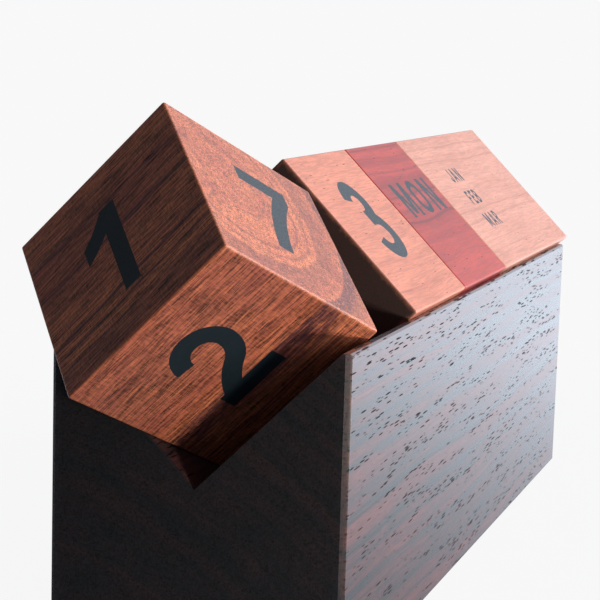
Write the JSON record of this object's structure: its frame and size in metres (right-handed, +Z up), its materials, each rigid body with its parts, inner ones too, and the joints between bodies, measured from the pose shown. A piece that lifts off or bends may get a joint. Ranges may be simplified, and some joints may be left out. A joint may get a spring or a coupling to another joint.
{
  "type": "perpetual desk calendar",
  "caption": "Perpetual desk calendar: a dark hardwood base with a V-groove holds day cubes, a weekday cube and a month block on edge; one cube lies turned.",
  "frame": {"origin": "centre of the base's underside", "axes": "+X in reading direction along the groove, from the day cubes to the month block; +Z up; the reader stands on the -Y side"},
  "size_m": [0.216, 0.0677, 0.1011],
  "materials": {
    "base_wood": "satin oiled dark open-pored hardwood",
    "left_cube_wood": "satin oiled red-brown hardwood",
    "right_cube_wood": "satin oiled pink-brown hardwood",
    "weekday_wood": "satin oiled red hardwood",
    "month_wood": "satin oiled light salmon hardwood",
    "inlay": "blue-black satin fill, flush with the wood"
  },
  "bodies": {
    "base": {"base_block": "base_wood"},
    "left_day": {"day_cube_left": "left_cube_wood", "day_cube_left_numeral_0": "inlay", "day_cube_left_numeral_1": "inlay", "day_cube_left_numeral_2": "inlay", "day_cube_left_numeral_6": "inlay", "day_cube_left_numeral_7": "inlay", "day_cube_left_numeral_8": "inlay"},
    "right_day": {"day_cube_right": "right_cube_wood", "day_cube_right_numeral_0": "inlay", "day_cube_right_numeral_1": "inlay", "day_cube_right_numeral_2": "inlay", "day_cube_right_numeral_3": "inlay", "day_cube_right_numeral_4": "inlay", "day_cube_right_numeral_5": "inlay"},
    "weekday": {"weekday_cube": "weekday_wood", "weekday_fri": "inlay", "weekday_mon": "inlay", "weekday_sat": "inlay", "weekday_sun": "inlay", "weekday_thu": "inlay", "weekday_tue": "inlay", "weekday_wed": "inlay"},
    "month": {"month_apr": "inlay", "month_aug": "inlay", "month_block": "month_wood", "month_dec": "inlay", "month_feb": "inlay", "month_jan": "inlay", "month_jul": "inlay", "month_jun": "inlay", "month_mar": "inlay", "month_may": "inlay", "month_nov": "inlay", "month_oct": "inlay", "month_sep": "inlay"}
  },
  "joints": [
    {"name": "left_day_lift", "type": "slide", "parent": "base", "child": "left_day", "axis": [0, 0, 1], "range_m": [0, 0.045]},
    {"name": "right_day_lift", "type": "slide", "parent": "base", "child": "right_day", "axis": [0, 0, 1], "range_m": [0, 0.045]},
    {"name": "weekday_lift", "type": "slide", "parent": "base", "child": "weekday", "axis": [0, 0, 1], "range_m": [0, 0.045]},
    {"name": "month_lift", "type": "slide", "parent": "base", "child": "month", "axis": [0, 0, 1], "range_m": [0, 0.045]}
  ]
}
